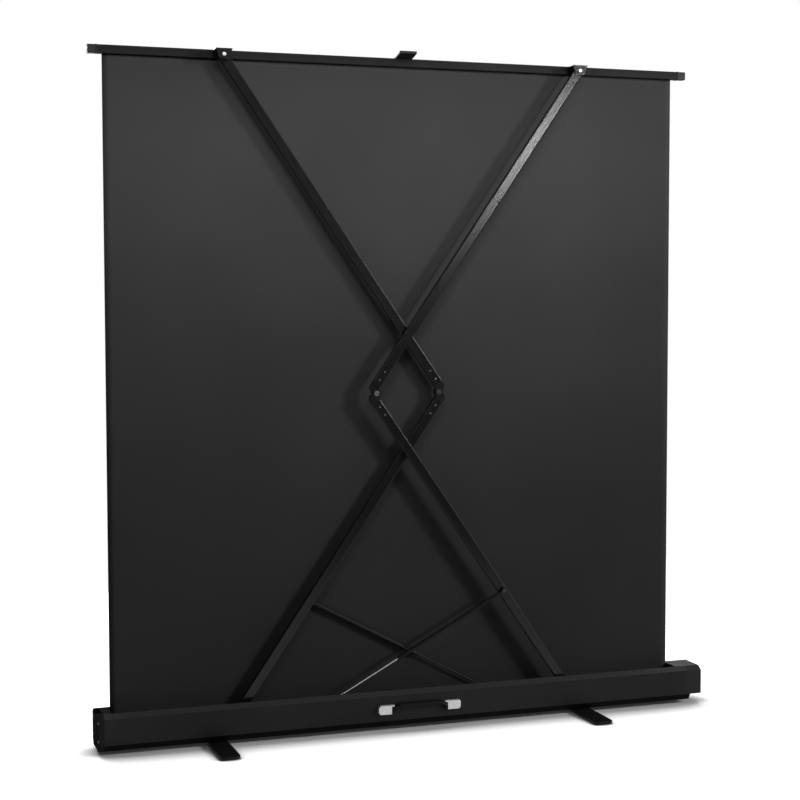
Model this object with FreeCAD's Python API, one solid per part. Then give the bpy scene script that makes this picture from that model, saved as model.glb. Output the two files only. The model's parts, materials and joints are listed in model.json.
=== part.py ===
import FreeCAD, Part
import math
import os

Vector = FreeCAD.Vector
os.makedirs("parts", exist_ok=True)

# A pull-up floor screen, raised. Millimetres, +Z up, the back of the screen faces -Y.
# The origin is on the floor, at the middle of the case's length and of the feet.

# Case
case_length = 1932.0
case_depth = 120.0
case_underside = 13.0
band_height = 19.0
band_inset = 13.0
band_setback = 1.5
band_wall = 2.4
band_short = 38.0
base_plate_thickness = 2.0
face_height = 76.0
shoulder_rise = 12.0
shoulder_depth = 19.0
shell_wall = 2.0
lip_drop = 8.0
left_cap_thickness = 16.0
right_cap_length = 50.0
right_cap_wall = 3.0
cap_edge_radius = 2.5
notch_margin = 5.0
notch_depth = 12.0
notch_radius = 5.0
cover_thickness = 3.0
cover_web_height = 30.0
cover_fabric_gap = 4.0
cap_screw_head_radius = 3.6
cap_screw_head_height = 2.4
cap_screw_radius = 2.0
cap_screw_edge_distance = 12.0

# Screen fabric and its roller
fabric_width = 1800.0
fabric_thickness = 0.6
fabric_x = -22.0
fabric_y = 19.4
fabric_gap = 0.3
roller_radius = 16.0
roller_wall = 1.5
roller_margin = 5.0
roller_z = 42.0
wrap_gap = 0.05
wrap_thickness = 0.95
roller_plug_flange = 2.0
roller_plug_depth = 20.0
roller_journal_radius = 5.0
roller_bracket_thickness = 3.0
roller_bracket_half_width = 17.0
roller_bracket_rise = 14.0
roller_end_gap = 0.5
spring_shaft_length = 640.0
motor_spring_radius = 12.0
motor_spring_length = 540.0
motor_spring_setback = 40.0
motor_spring_gap = 0.3

# Top bar, its brackets and the pull tab
bar_top = 2019.0
bar_height = 25.0
bar_depth = 24.0
bar_wall = 1.8
bar_top_radius = 5.0
bar_foot_radius = 2.0
bar_slot_clearance = 0.5
bar_groove_width = 1.6
bar_groove_depth = 0.8
bar_groove_drop = 9.0
bar_left_overhang = 42.0
bar_right_overhang = 47.0
bar_plug_length = 24.0
bar_collar_length = 3.0
bar_collar_proud = 1.0
bar_spigot_length = 22.0
bracket_width = 49.0
bracket_foot_width = 28.0
bracket_sheet = 2.5
bracket_rear_spacer = 2.0
bracket_front_spacer = 1.9
bracket_below_bar = 5.0
bracket_screw_radius = 2.0
bracket_screw_head_radius = 4.0
bracket_screw_head_height = 1.6
bracket_screw_length = 6.0
top_rivet_radius = 5.5
top_rivet_height = 1.5
spacer_radius = 6.5
tab_width = 54.0
tab_reach = 40.0
tab_foot = 13.0
tab_rise = 10.0
tab_lip = 7.0
tab_thickness = 3.0
tab_screw_side = 17.0

# Folding legs
leg_x = -20.0
pivot_half_spacing = 560.0
base_pivot_room = 4.5
link_length = 1185.0
arm_width = 28.0
arm_depth = 14.0
arm_wall = 1.6
arm_corner = 2.5
arm_solid_end = 22.0
arm_groove_width = 7.0
arm_groove_depth = 0.7
layer_gap = 1.5
pin_radius = 4.0
running_clearance = 0.08
fixed_clearance = 0.05
open_pivot_clearance = 0.4
side_clearance = 0.5
elbow_side_gap = 0.6
elbow_clear = 22.0
elbow_ear_radius = 13.0
elbow_nose = 4.0
elbow_nose_corner = 9.0
elbow_root = 3.0
elbow_tongue = 6.4
elbow_tongue_gap = 0.3
elbow_spigot_length = 60.0
elbow_rivet_first = 17.0
elbow_rivet_pitch = 29.0
elbow_rivet_radius = 2.0
elbow_rivet_head_radius = 2.6
elbow_rivet_head_height = 1.2
elbow_disc_radius = 8.0
elbow_disc_height = 2.4
elbow_washer_radius = 7.0
elbow_washer_height = 1.0
splice_from_top = 499.0
splice_bar_length = 120.0
splice_screw_offset = 14.0
splice_screw_side = 7.0
base_bracket_half_width = 16.0
base_bracket_sheet = 2.5
base_bracket_above_pivot = 8.5
base_pin_head_radius = 6.0
base_pin_head_height = 1.2

# Gas springs
spring_on_arm = 444.0
spring_offset = 14.2
anchor_inset = 187.0
anchor_z = 34.0
spring_eye_radius = 8.0
spring_eye_width = 8.0
spring_neck_radius = 3.6
spring_neck_end = 17.0
spring_tube_start = 14.0
spring_tube_length = 380.0
spring_tube_radius = 6.0
spring_tube_wall = 1.1
spring_gland_length = 8.0
spring_rod_radius = 2.5
spring_piston_length = 12.0
spring_piston_setback = 26.0
stud_collar_radius = 7.0
stud_collar_height = 2.6
stud_head_radius = 6.0
stud_head_height = 1.4
stud_end_gap = 0.3
anchor_sheet = 2.0
anchor_half_width = 11.0
anchor_flange_half_length = 18.0

# Feet
left_foot_x = -618.0
right_foot_x = 550.0
foot_length = 420.0
foot_width = 60.0
foot_thickness = 8.5
foot_corner = 14.0
foot_edge_radius = 2.0
pad_thickness = 2.5
pad_length = 50.0
pad_width = 44.0
pad_end_margin = 10.0
pad_corner = 8.0
foot_washer_radius = 20.0
foot_bolt_radius = 4.0
foot_bolt_head_radius = 8.0
foot_bolt_head_height = 3.4
foot_bolt_pocket = 4.0
foot_bolt_pocket_gap = 0.4
foot_nut_radius = 7.0
foot_nut_height = 5.0

# Carry handle
handle_half_length = 131.5
mount_width = 42.0
mount_height = 28.0
mount_thickness = 12.0
mount_z = 54.0
mount_outer_radius = 9.0
mount_edge_radius = 1.5
tongue_length = 8.0
tongue_height = 5.0
handle_axis_rise = 7.0
handle_axis_out = 8.5
handle_tube_radius = 4.3
handle_side_gap = 0.5
handle_eye_radius = 5.5
handle_bend_rise = 6.0
handle_rod_rise = 16.0
handle_rod_half_length = 70.0
handle_pin_radius = 2.5
handle_pin_seat = 10.0
grip_radius = 7.0
grip_half_length = 66.0
grip_end_radius = 2.5

# Every cut runs past its piece by this much
overrun = 5.0

# An edge counts as lying along a direction when its tangent's share along it is above this
along_share = 0.99

# Worked-out places
half_length = case_length / 2
half_depth = case_depth / 2
face_bottom = case_underside + band_height
face_top = face_bottom + face_height
lip_top = face_top + shoulder_rise
lip_y = half_depth - shoulder_depth
floor_top = case_underside + base_plate_thickness
shell_left = -half_length + left_cap_thickness
shell_right = half_length - right_cap_length
band_right = half_length - band_short
notch_floor = lip_top - notch_depth

fabric_left = fabric_x - fabric_width / 2
fabric_right = fabric_x + fabric_width / 2
wrap_radius = roller_radius + wrap_gap + wrap_thickness
roller_y = fabric_y + fabric_thickness / 2 + fabric_gap + wrap_radius
roller_left = fabric_left - roller_margin
roller_right = fabric_right + roller_margin

bar_bottom = bar_top - bar_height
bar_rear = fabric_y - bar_depth / 2
bar_front = fabric_y + bar_depth / 2
bar_left = fabric_left - bar_left_overhang
bar_right = fabric_right + bar_right_overhang
bar_tube_left = bar_left + bar_plug_length + bar_collar_length
bar_tube_right = bar_right - bar_plug_length - bar_collar_length

half_arm = arm_depth / 2
far_layer_y = bar_rear - bracket_sheet - bracket_front_spacer - side_clearance - half_arm
near_layer_y = far_layer_y - arm_depth - layer_gap
bracket_rear_y = near_layer_y - half_arm - side_clearance - bracket_rear_spacer - bracket_sheet
top_pivot_drop = bracket_sheet + side_clearance + arm_width / 2
base_pivot_z = floor_top + base_bracket_sheet + base_pivot_room + arm_width / 2
top_pivot_z = bar_top - top_pivot_drop
elbow_z = (base_pivot_z + top_pivot_z) / 2
raised_angle = math.asin((elbow_z - base_pivot_z) / link_length)
folded_bar_bottom = lip_top + bar_collar_proud + side_clearance
folded_pivot_z = folded_bar_bottom + bar_height - top_pivot_drop
folded_angle = math.asin((folded_pivot_z - base_pivot_z) / 2 / link_length)
elbow_offset = arm_width / 2 + elbow_side_gap
lean = math.asin(elbow_offset / link_length)
arm_angle = raised_angle - lean
elbow_u = link_length * math.cos(lean)
arm_end_u = elbow_u - elbow_clear
left_pivot_x = leg_x - pivot_half_spacing
far_to_near = near_layer_y - far_layer_y

spring_top = Vector(left_pivot_x + spring_on_arm * math.cos(arm_angle), far_layer_y + spring_offset,
                    base_pivot_z + spring_on_arm * math.sin(arm_angle))
left_anchor = Vector(leg_x + pivot_half_spacing - anchor_inset, far_layer_y + spring_offset, anchor_z)
spring_vector = left_anchor - spring_top
spring_length = spring_vector.Length
spring_drop = math.atan2(-spring_vector.z, spring_vector.x)

foot_low = pad_thickness
foot_top = foot_low + foot_thickness
mount_rear = -half_depth - mount_thickness
mount_inner_x = handle_half_length - mount_width
handle_axis_y = -half_depth - handle_axis_out
handle_axis_z = mount_z + handle_axis_rise
handle_rod_z = handle_axis_z + handle_rod_rise
handle_arm_x = mount_inner_x - handle_side_gap - handle_tube_radius

axis_x = Vector(1, 0, 0)
axis_y = Vector(0, 1, 0)
axis_z = Vector(0, 0, 1)
origin = Vector(0, 0, 0)
parts = {}


def span_box(x_low, x_high, y_low, y_high, z_low, z_high):
    corner = Vector(x_low, y_low, z_low)
    return Part.makeBox(x_high - x_low, y_high - y_low, z_high - z_low, corner)


def round_bar(radius, start, end):
    return Part.makeCylinder(radius, (end - start).Length, start, end - start)


def bar_along_y(radius, x, z, y_low, y_high):
    return round_bar(radius, Vector(x, y_low, z), Vector(x, y_high, z))


def bar_along_x(radius, y, z, x_low, x_high):
    return round_bar(radius, Vector(x_low, y, z), Vector(x_high, y, z))


def bar_along_z(radius, x, y, z_low, z_high):
    return round_bar(radius, Vector(x, y, z_low), Vector(x, y, z_high))


def prism_along_x(outline, x_low, x_high):
    points = [Vector(x_low, y, z) for y, z in outline]
    face = Part.Face(Part.makePolygon(points + points[:1]))
    return face.extrude(Vector(x_high - x_low, 0, 0))


def prism_along_y(outline, y_low, y_high):
    points = [Vector(x, y_low, z) for x, z in outline]
    face = Part.Face(Part.makePolygon(points + points[:1]))
    return face.extrude(Vector(0, y_high - y_low, 0))


def edges_along(shape, direction):
    found = []
    for edge in shape.Edges:
        if isinstance(edge.Curve, Part.Line):
            tangent = edge.tangentAt(edge.FirstParameter)
            if abs(tangent.dot(direction)) > along_share:
                found.append(edge)
    return found


def edges_near(shape, coordinate, value):
    found = []
    for edge in shape.Edges:
        if abs(getattr(edge.CenterOfMass, coordinate) - value) < fixed_clearance:
            found.append(edge)
    return found


def mirrored_y(outline):
    return [(-y, z) for y, z in outline]


def mirrored_x_across(shape, x):
    return shape.mirror(Vector(x, 0, 0), axis_x)


def screw_along(head_radius, head_height, shank_radius, shank_length, seat, direction):
    head = round_bar(head_radius, seat, seat - direction * head_height)
    shank = round_bar(shank_radius, seat, seat + direction * shank_length)
    return head.fuse(shank).removeSplitter()


def group(shapes):
    return Part.makeCompound(shapes)


# Shells, rails and end caps of the case

def shoulder_inside(y):
    slope = shoulder_rise / shoulder_depth
    return face_top + (y + half_depth) * slope - shell_wall * math.hypot(1, slope)


def shell_outline():
    inner_y = -half_depth + shell_wall
    lip_inner_y = -lip_y - shell_wall
    lip_foot = lip_top - lip_drop
    outside = [(-half_depth, face_bottom), (-half_depth, face_top), (-lip_y, lip_top), (-lip_y, lip_foot)]
    inside = [(lip_inner_y, lip_foot), (lip_inner_y, shoulder_inside(lip_inner_y)),
              (inner_y, shoulder_inside(inner_y)), (inner_y, face_bottom)]
    return outside + inside


def rail_outline():
    top_y = -half_depth + band_setback
    foot_y = -half_depth + band_inset
    return [(top_y, face_bottom), (foot_y, case_underside), (foot_y + band_wall, case_underside),
            (top_y + band_wall, face_bottom)]


def left_cap():
    foot_y = half_depth - band_inset
    notch_y = lip_y - notch_margin
    side = [(foot_y, case_underside), (half_depth, face_bottom), (half_depth, face_top), (lip_y, lip_top),
            (notch_y, lip_top), (notch_y, notch_floor)]
    outline = side + mirrored_y(side)[::-1]
    cap = prism_along_x(outline, -half_length, shell_left)
    lengthwise = edges_along(cap, axis_x)
    notch_corners = [edge for edge in lengthwise if abs(edge.CenterOfMass.z - notch_floor) < fixed_clearance]
    cap = cap.makeFillet(notch_radius, notch_corners)
    reach = lip_y - fixed_clearance
    cover_end = fabric_left - cover_fabric_gap
    web_end = shell_left + cover_thickness
    cover = span_box(shell_left, cover_end, -reach, reach, lip_top - cover_thickness, lip_top)
    web = span_box(shell_left, web_end, -reach, reach, lip_top - cover_web_height, lip_top)
    cap = cap.fuse([cover, web]).removeSplitter()
    for seat in cap_screw_seats(-half_length):
        cap = cap.cut(round_bar(cap_screw_head_radius + fixed_clearance, seat,
                                seat + axis_x * cap_screw_head_height))
        cap = cap.cut(round_bar(cap_screw_radius + fixed_clearance, seat, seat + axis_x * case_depth))
    return cap


def cap_screw_seats(x):
    inset = half_depth - cap_screw_edge_distance
    heights = [face_bottom + cap_screw_edge_distance, face_top - cap_screw_edge_distance]
    return [Vector(x, y, z) for y in (-inset, inset) for z in heights]


def cap_screws():
    screws = []
    for seat in cap_screw_seats(-half_length):
        floor = seat + axis_x * cap_screw_head_height
        screws.append(screw_along(cap_screw_head_radius, cap_screw_head_height, cap_screw_radius,
                                  left_cap_thickness - cap_screw_head_height, floor, axis_x))
    return group(screws)


def right_cap():
    side = [(lip_y, lip_top), (half_depth, face_top), (half_depth, face_bottom)]
    cap = prism_along_x(side + mirrored_y(side)[::-1], shell_right, half_length)
    cap = cap.makeFillet(cap_edge_radius, edges_near(cap, "x", half_length))
    inner_half = half_depth - right_cap_wall
    pocket = span_box(shell_right - overrun, half_length - right_cap_wall, -inner_half, inner_half,
                      face_bottom + right_cap_wall, face_top - right_cap_wall)
    reach = lip_y - fixed_clearance
    cover_start = fabric_right + cover_fabric_gap
    cover = span_box(cover_start, shell_right, -reach, reach, lip_top - cover_thickness, lip_top)
    return cap.cut(pocket).fuse(cover).removeSplitter()


def base_plate():
    half_width = half_depth - band_inset - band_wall
    plate = span_box(shell_left, band_right, -half_width, half_width, case_underside, floor_top)
    for x in (left_foot_x, right_foot_x):
        plate = plate.cut(bar_along_z(foot_bolt_radius + fixed_clearance, x, 0, case_underside - overrun,
                                      floor_top + overrun))
    return plate


parts["case_rear_shell"] = prism_along_x(shell_outline(), shell_left, shell_right)
parts["case_front_shell"] = prism_along_x(mirrored_y(shell_outline()), shell_left, shell_right)
parts["base_rails"] = group([prism_along_x(outline, shell_left, band_right)
                             for outline in (rail_outline(), mirrored_y(rail_outline()))])
parts["base_plate"] = base_plate()
parts["left_end_cap"] = left_cap()
parts["right_end_cap"] = right_cap()
parts["end_cap_screws"] = cap_screws()


# Roller and fabric

def roller_bar(radius, x_low, x_high):
    return bar_along_x(radius, roller_y, roller_z, x_low, x_high)


def roller_sleeve(outer_radius, inner_radius, x_low, x_high):
    core = roller_bar(inner_radius, x_low - overrun, x_high + overrun)
    return roller_bar(outer_radius, x_low, x_high).cut(core)


def roller_plug(flange_x, inward):
    flange = roller_bar(roller_radius, flange_x, flange_x - inward * roller_plug_flange)
    inner_radius = roller_radius - roller_wall - fixed_clearance
    spigot = roller_bar(inner_radius, flange_x, flange_x + inward * roller_plug_depth)
    return flange.fuse(spigot).removeSplitter()


def roller_bracket(x_low, hole_radius):
    x_high = x_low + roller_bracket_thickness
    rear_y = roller_y - roller_bracket_half_width
    front_y = roller_y + roller_bracket_half_width
    foot_y = half_depth - band_inset - band_wall
    top = roller_z + roller_bracket_rise
    outline = [(rear_y, floor_top), (foot_y, floor_top), (front_y, face_bottom), (front_y, top),
               (rear_y, top)]
    plate = prism_along_x(outline, x_low, x_high)
    return plate.cut(roller_bar(hole_radius, x_low - overrun, x_high + overrun))


left_flange = roller_left - roller_plug_flange
right_flange = roller_right + roller_plug_flange
left_bracket_x = left_flange - roller_end_gap - roller_bracket_thickness
right_bracket_x = right_flange + roller_end_gap
shaft_hole = roller_journal_radius + running_clearance

parts["roller_tube"] = roller_sleeve(roller_radius, roller_radius - roller_wall, roller_left, roller_right)
plug_bore = roller_bar(shaft_hole, left_flange - overrun, roller_left + roller_plug_depth + overrun)
parts["roller_plug_left"] = roller_plug(roller_left, 1).cut(plug_bore)
journal = roller_bar(roller_journal_radius, roller_right, right_bracket_x + roller_bracket_thickness)
parts["roller_plug_right"] = roller_plug(roller_right, -1).fuse(journal).removeSplitter()
parts["fabric_wrap"] = roller_sleeve(wrap_radius, roller_radius + wrap_gap, fabric_left, fabric_right)
parts["roller_brackets"] = group([roller_bracket(left_bracket_x, roller_journal_radius + fixed_clearance),
                                  roller_bracket(right_bracket_x, shaft_hole)])
parts["roller_spring_shaft"] = roller_bar(roller_journal_radius, left_bracket_x,
                                          left_bracket_x + spring_shaft_length)
motor_start = roller_left + motor_spring_setback
parts["roller_spring"] = roller_sleeve(motor_spring_radius, roller_journal_radius + motor_spring_gap,
                                       motor_start, motor_start + motor_spring_length)
fabric_top = bar_bottom + bar_wall
parts["screen_fabric"] = span_box(fabric_left, fabric_right, fabric_y - fabric_thickness / 2,
                                  fabric_y + fabric_thickness / 2, roller_z, fabric_top)


# Top bar with its plugs, brackets and pull tab

def bar_section(x_low, x_high, proud):
    block = span_box(x_low, x_high, bar_rear - proud, bar_front + proud, bar_bottom - proud, bar_top + proud)
    along = edges_along(block, axis_x)
    upper = [edge for edge in along if edge.CenterOfMass.z > bar_top - bar_height / 2]
    block = block.makeFillet(bar_top_radius, upper)
    along = edges_along(block, axis_x)
    lower = [edge for edge in along if edge.CenterOfMass.z < bar_bottom + fixed_clearance]
    return block.makeFillet(bar_foot_radius, lower)


def bar_core(x_low, x_high, gap):
    inset = bar_wall + gap
    block = span_box(x_low, x_high, bar_rear + inset, bar_front - inset, bar_bottom + inset, bar_top - inset)
    return block.makeFillet(bar_top_radius - bar_wall, edges_along(block, axis_x))


def top_bar():
    outer = bar_section(bar_tube_left, bar_tube_right, 0)
    hollow = outer.cut(bar_core(bar_tube_left - overrun, bar_tube_right + overrun, 0))
    slot_half = fabric_thickness / 2 + bar_slot_clearance
    slot = span_box(bar_tube_left - overrun, bar_tube_right + overrun, fabric_y - slot_half,
                    fabric_y + slot_half, bar_bottom - overrun, bar_bottom + bar_wall + overrun)
    groove_top = bar_top - bar_groove_drop
    bar = hollow.cut(slot)
    for face_y in (bar_rear, bar_front):
        bar = bar.cut(span_box(bar_tube_left - overrun, bar_tube_right + overrun, face_y - bar_groove_depth,
                               face_y + bar_groove_depth, groove_top - bar_groove_width, groove_top))
    return bar


def bar_plug(outer_x, inward):
    block_end = outer_x + inward * bar_plug_length
    collar_end = block_end + inward * bar_collar_length
    spigot_end = collar_end + inward * bar_spigot_length
    block = bar_section(min(outer_x, block_end), max(outer_x, block_end), 0)
    collar = bar_section(min(block_end, collar_end), max(block_end, collar_end), bar_collar_proud)
    spigot = bar_core(min(collar_end, spigot_end), max(collar_end, spigot_end), fixed_clearance)
    return block.fuse([collar, spigot]).removeSplitter()


def top_bracket(x):
    half = bracket_width / 2
    foot_half = bracket_foot_width / 2
    low = bar_bottom - bracket_below_bar
    outline = [(x - half, bar_top), (x - foot_half, low), (x + foot_half, low), (x + half, bar_top)]
    rear = prism_along_y(outline, bracket_rear_y, bracket_rear_y + bracket_sheet)
    top = span_box(x - half, x + half, bracket_rear_y, bar_rear, bar_top - bracket_sheet, bar_top)
    front = span_box(x - half, x + half, bar_rear - bracket_sheet, bar_rear, bar_bottom + bar_foot_radius,
                     bar_top)
    bracket = rear.fuse([top, front]).removeSplitter()
    hole = bar_along_y(pin_radius + fixed_clearance, x, top_pivot_z, bracket_rear_y - overrun,
                       bar_rear + overrun)
    return bracket.cut(hole)


def top_pivot(x):
    pin = bar_along_y(pin_radius, x, top_pivot_z, bracket_rear_y, bar_rear)
    head = bar_along_y(top_rivet_radius, x, top_pivot_z, bracket_rear_y - top_rivet_height, bracket_rear_y)
    pivot = pin.fuse(head).removeSplitter()
    return pivot.makeFillet(top_rivet_height / 2, edges_near(pivot, "y", bracket_rear_y - top_rivet_height))


def top_spacers(x, layer_y):
    inside = bracket_rear_y + bracket_sheet
    outside = bar_rear - bracket_sheet
    spans = [(inside, layer_y - half_arm - side_clearance), (layer_y + half_arm + side_clearance, outside)]
    sleeves = []
    for y_low, y_high in spans:
        sleeve = bar_along_y(spacer_radius, x, top_pivot_z, y_low, y_high)
        sleeves.append(sleeve.cut(bar_along_y(pin_radius + fixed_clearance, x, top_pivot_z,
                                              y_low - overrun, y_high + overrun)))
    return sleeves


def pull_tab():
    rear_y = bar_rear - tab_reach
    lip_front_y = rear_y + tab_thickness
    foot_high = bar_top + tab_thickness
    lip_low = bar_top + tab_rise
    lip_high = lip_low + tab_lip
    outline = [(bar_rear + tab_foot, bar_top), (bar_rear + tab_foot, foot_high), (bar_rear, foot_high),
               (lip_front_y, lip_low + tab_thickness), (lip_front_y, lip_high), (rear_y, lip_high),
               (rear_y, lip_low), (bar_rear, bar_top)]
    tab = prism_along_x(outline, fabric_x - tab_width / 2, fabric_x + tab_width / 2)
    for seat in tab_screw_seats():
        hole_end = seat - axis_z * bar_height
        tab = tab.cut(round_bar(bracket_screw_radius + fixed_clearance, seat + axis_z * overrun, hole_end))
    return tab


def tab_screw_seats():
    y = bar_rear + (tab_foot + bar_top_radius) / 2
    return [Vector(fabric_x + side * tab_screw_side, y, bar_top + tab_thickness) for side in (-1, 1)]


def tab_screws():
    return group([screw_along(bracket_screw_head_radius, bracket_screw_head_height, bracket_screw_radius,
                              tab_thickness, seat, -axis_z) for seat in tab_screw_seats()])


right_pivot_x = leg_x + pivot_half_spacing
parts["top_bar"] = top_bar()
parts["bar_plugs"] = group([bar_plug(bar_left, 1), bar_plug(bar_right, -1)])
parts["top_brackets"] = group([top_bracket(left_pivot_x), top_bracket(right_pivot_x)])
parts["top_pivots"] = group([top_pivot(left_pivot_x), top_pivot(right_pivot_x)])
left_spacers = top_spacers(left_pivot_x, far_layer_y)
right_spacers = top_spacers(right_pivot_x, near_layer_y)
parts["top_pivot_spacers"] = group(left_spacers + right_spacers)
parts["pull_tab"] = pull_tab()
parts["pull_tab_screws"] = tab_screws()


# Arms, drawn lying along +X from their end pivot at the origin, then placed

def arm_tube(hole_radius):
    body = span_box(0, arm_end_u, -half_arm, half_arm, -arm_width / 2, arm_width / 2)
    body = body.makeFillet(arm_corner, edges_along(body, axis_x))
    nose = bar_along_y(arm_width / 2, 0, 0, -half_arm, half_arm)
    nose = nose.makeFillet(arm_corner, edges_near(nose, "y", -half_arm) + edges_near(nose, "y", half_arm))
    arm = body.fuse(nose).removeSplitter()
    cavity = span_box(arm_solid_end, arm_end_u + overrun, -half_arm + arm_wall, half_arm - arm_wall,
                      -arm_width / 2 + arm_wall, arm_width / 2 - arm_wall)
    groove = span_box(arm_solid_end, arm_end_u + overrun, -half_arm - overrun, -half_arm + arm_groove_depth,
                      -arm_groove_width / 2, arm_groove_width / 2)
    hole = bar_along_y(hole_radius, 0, 0, -half_arm - overrun, half_arm + overrun)
    arm = arm.cut(cavity).cut(groove).cut(hole)
    for u in rivet_places():
        arm = arm.cut(bar_along_y(elbow_rivet_radius + fixed_clearance, u, 0, -arm_depth, arm_depth))
    return arm


def rivet_places():
    first = arm_end_u - elbow_rivet_first
    return [first, first - elbow_rivet_pitch]


def elbow_fitting(is_fork):
    spigot_half_width = arm_width / 2 - arm_wall - fixed_clearance
    spigot_half_depth = half_arm - arm_wall - fixed_clearance
    spigot = span_box(arm_end_u - elbow_spigot_length, arm_end_u, -spigot_half_depth, spigot_half_depth,
                      -spigot_half_width, spigot_half_width)
    nose_u = elbow_u + elbow_nose
    low_v = -arm_width / 2
    outline = [(arm_end_u, low_v), (nose_u - elbow_nose_corner, low_v), (nose_u, low_v + elbow_nose_corner),
               (nose_u, elbow_offset), (arm_end_u, arm_width / 2)]
    head = prism_along_y(outline, -half_arm, half_arm)
    ear = bar_along_y(elbow_ear_radius, elbow_u, elbow_offset, -half_arm, half_arm)
    head = head.fuse(ear).removeSplitter()
    tongue_half = elbow_tongue / 2
    slot_half = tongue_half + elbow_tongue_gap
    cut_left = arm_end_u + elbow_root
    cut_right = nose_u + elbow_ear_radius + overrun
    cut_top = elbow_offset + elbow_ear_radius + overrun
    if is_fork:
        head = head.cut(span_box(cut_left, cut_right, -slot_half, slot_half, -arm_width, cut_top))
        bore_radius = pin_radius + fixed_clearance
    else:
        head = head.cut(span_box(cut_left, cut_right, tongue_half, arm_depth, -arm_width, cut_top))
        head = head.cut(span_box(cut_left, cut_right, -arm_depth, -tongue_half, -arm_width, cut_top))
        bore_radius = pin_radius + running_clearance
    fitting = head.fuse(spigot).removeSplitter()
    fitting = fitting.cut(bar_along_y(bore_radius, elbow_u, elbow_offset, -arm_depth, arm_depth))
    for u in rivet_places():
        fitting = fitting.cut(bar_along_y(elbow_rivet_radius + fixed_clearance, u, 0, -arm_depth, arm_depth))
    return fitting


def elbow_rivets():
    rivets = []
    for u in rivet_places():
        seat_y = -half_arm + arm_groove_depth
        shank = bar_along_y(elbow_rivet_radius, u, 0, seat_y, half_arm)
        head = bar_along_y(elbow_rivet_head_radius, u, 0, seat_y - elbow_rivet_head_height, seat_y)
        rivets.append(shank.fuse(head).removeSplitter())
    return group(rivets)


def elbow_pin():
    pin = bar_along_y(pin_radius, elbow_u, elbow_offset, -half_arm, half_arm)
    disc = bar_along_y(elbow_disc_radius, elbow_u, elbow_offset, -half_arm - elbow_disc_height, -half_arm)
    washer = bar_along_y(elbow_washer_radius, elbow_u, elbow_offset, half_arm, half_arm + elbow_washer_height)
    whole = pin.fuse([disc, washer]).removeSplitter()
    return whole.makeFillet(elbow_disc_height / 2, edges_near(whole, "y", -half_arm - elbow_disc_height))


def spring_stud(toward):
    face = toward * half_arm
    collar_end = face + toward * stud_collar_height
    eye_far = toward * (spring_offset + spring_eye_width / 2 + stud_end_gap)
    head_end = eye_far + toward * stud_head_height
    collar = bar_along_y(stud_collar_radius, spring_on_arm, 0, face, collar_end)
    shank = bar_along_y(pin_radius, spring_on_arm, 0, face, eye_far)
    head = bar_along_y(stud_head_radius, spring_on_arm, 0, eye_far, head_end)
    return collar.fuse([shank, head]).removeSplitter()


def placed_lower_left(shape):
    moved = shape.copy()
    moved.rotate(origin, axis_y, -math.degrees(arm_angle))
    moved.translate(Vector(left_pivot_x, far_layer_y, base_pivot_z))
    return moved


def placed_upper_left(shape):
    return placed_lower_left(shape).mirror(Vector(0, 0, elbow_z), axis_z)


def placed_right(shape):
    moved = mirrored_x_across(shape, leg_x)
    moved.translate(Vector(0, far_to_near, 0))
    return moved


def splice_pieces(arm):
    slab = span_box(-arm_width, splice_from_top, -arm_depth, arm_depth, -arm_width, arm_width)
    upper = arm.common(slab)
    lower = arm.cut(slab)
    half_width = arm_width / 2 - arm_wall - fixed_clearance
    half_thickness = half_arm - arm_wall - fixed_clearance
    inner = span_box(splice_from_top - splice_bar_length / 2, splice_from_top + splice_bar_length / 2,
                     -half_thickness, half_thickness, -half_width, half_width)
    screws = []
    for side in (-1, 1):
        seat = Vector(splice_from_top - splice_screw_offset, -half_arm, side * splice_screw_side)
        hole_end = seat + axis_y * arm_depth
        hole = round_bar(bracket_screw_radius + fixed_clearance, seat - axis_y * overrun, hole_end)
        upper = upper.cut(hole)
        inner = inner.cut(hole)
        screws.append(screw_along(bracket_screw_head_radius, bracket_screw_head_height, bracket_screw_radius,
                                  bracket_screw_length, seat, axis_y))
    return upper, lower, inner, group(screws)


joint_bore = pin_radius + running_clearance
plain_arm = arm_tube(joint_bore)
open_arm = arm_tube(pin_radius + open_pivot_clearance)
fork = elbow_fitting(True)
tongue = elbow_fitting(False)
rivets = elbow_rivets()
pin = elbow_pin()
arm_upper, arm_lower, splice_bar, splice_screws = splice_pieces(open_arm)


def right_lower_place(shape):
    return placed_right(placed_lower_left(shape))


def right_upper_place(shape):
    return placed_right(placed_upper_left(shape))


parts["left_lower_arm"] = placed_lower_left(plain_arm)
parts["left_upper_arm"] = placed_upper_left(plain_arm)
parts["right_lower_arm"] = right_lower_place(plain_arm)
parts["right_upper_arm_top"] = right_upper_place(arm_upper)
parts["right_upper_arm_foot"] = right_upper_place(arm_lower)
parts["arm_splice_bar"] = right_upper_place(splice_bar)
parts["arm_splice_screws"] = right_upper_place(splice_screws)
parts["right_elbow_fork"] = placed_lower_left(fork)
parts["right_elbow_tongue"] = placed_upper_left(tongue)
parts["right_elbow_pin"] = placed_lower_left(pin)
parts["left_elbow_fork"] = right_lower_place(fork)
parts["left_elbow_tongue"] = right_upper_place(tongue)
parts["left_elbow_pin"] = right_lower_place(pin)
parts["left_lower_rivets"] = placed_lower_left(rivets)
parts["left_upper_rivets"] = placed_upper_left(rivets)
parts["right_lower_rivets"] = right_lower_place(rivets)
parts["right_upper_rivets"] = right_upper_place(rivets)
parts["left_spring_stud"] = placed_lower_left(spring_stud(1))
parts["right_spring_stud"] = right_lower_place(spring_stud(-1))


# Brackets and pins that carry the lower arms in the case

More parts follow.
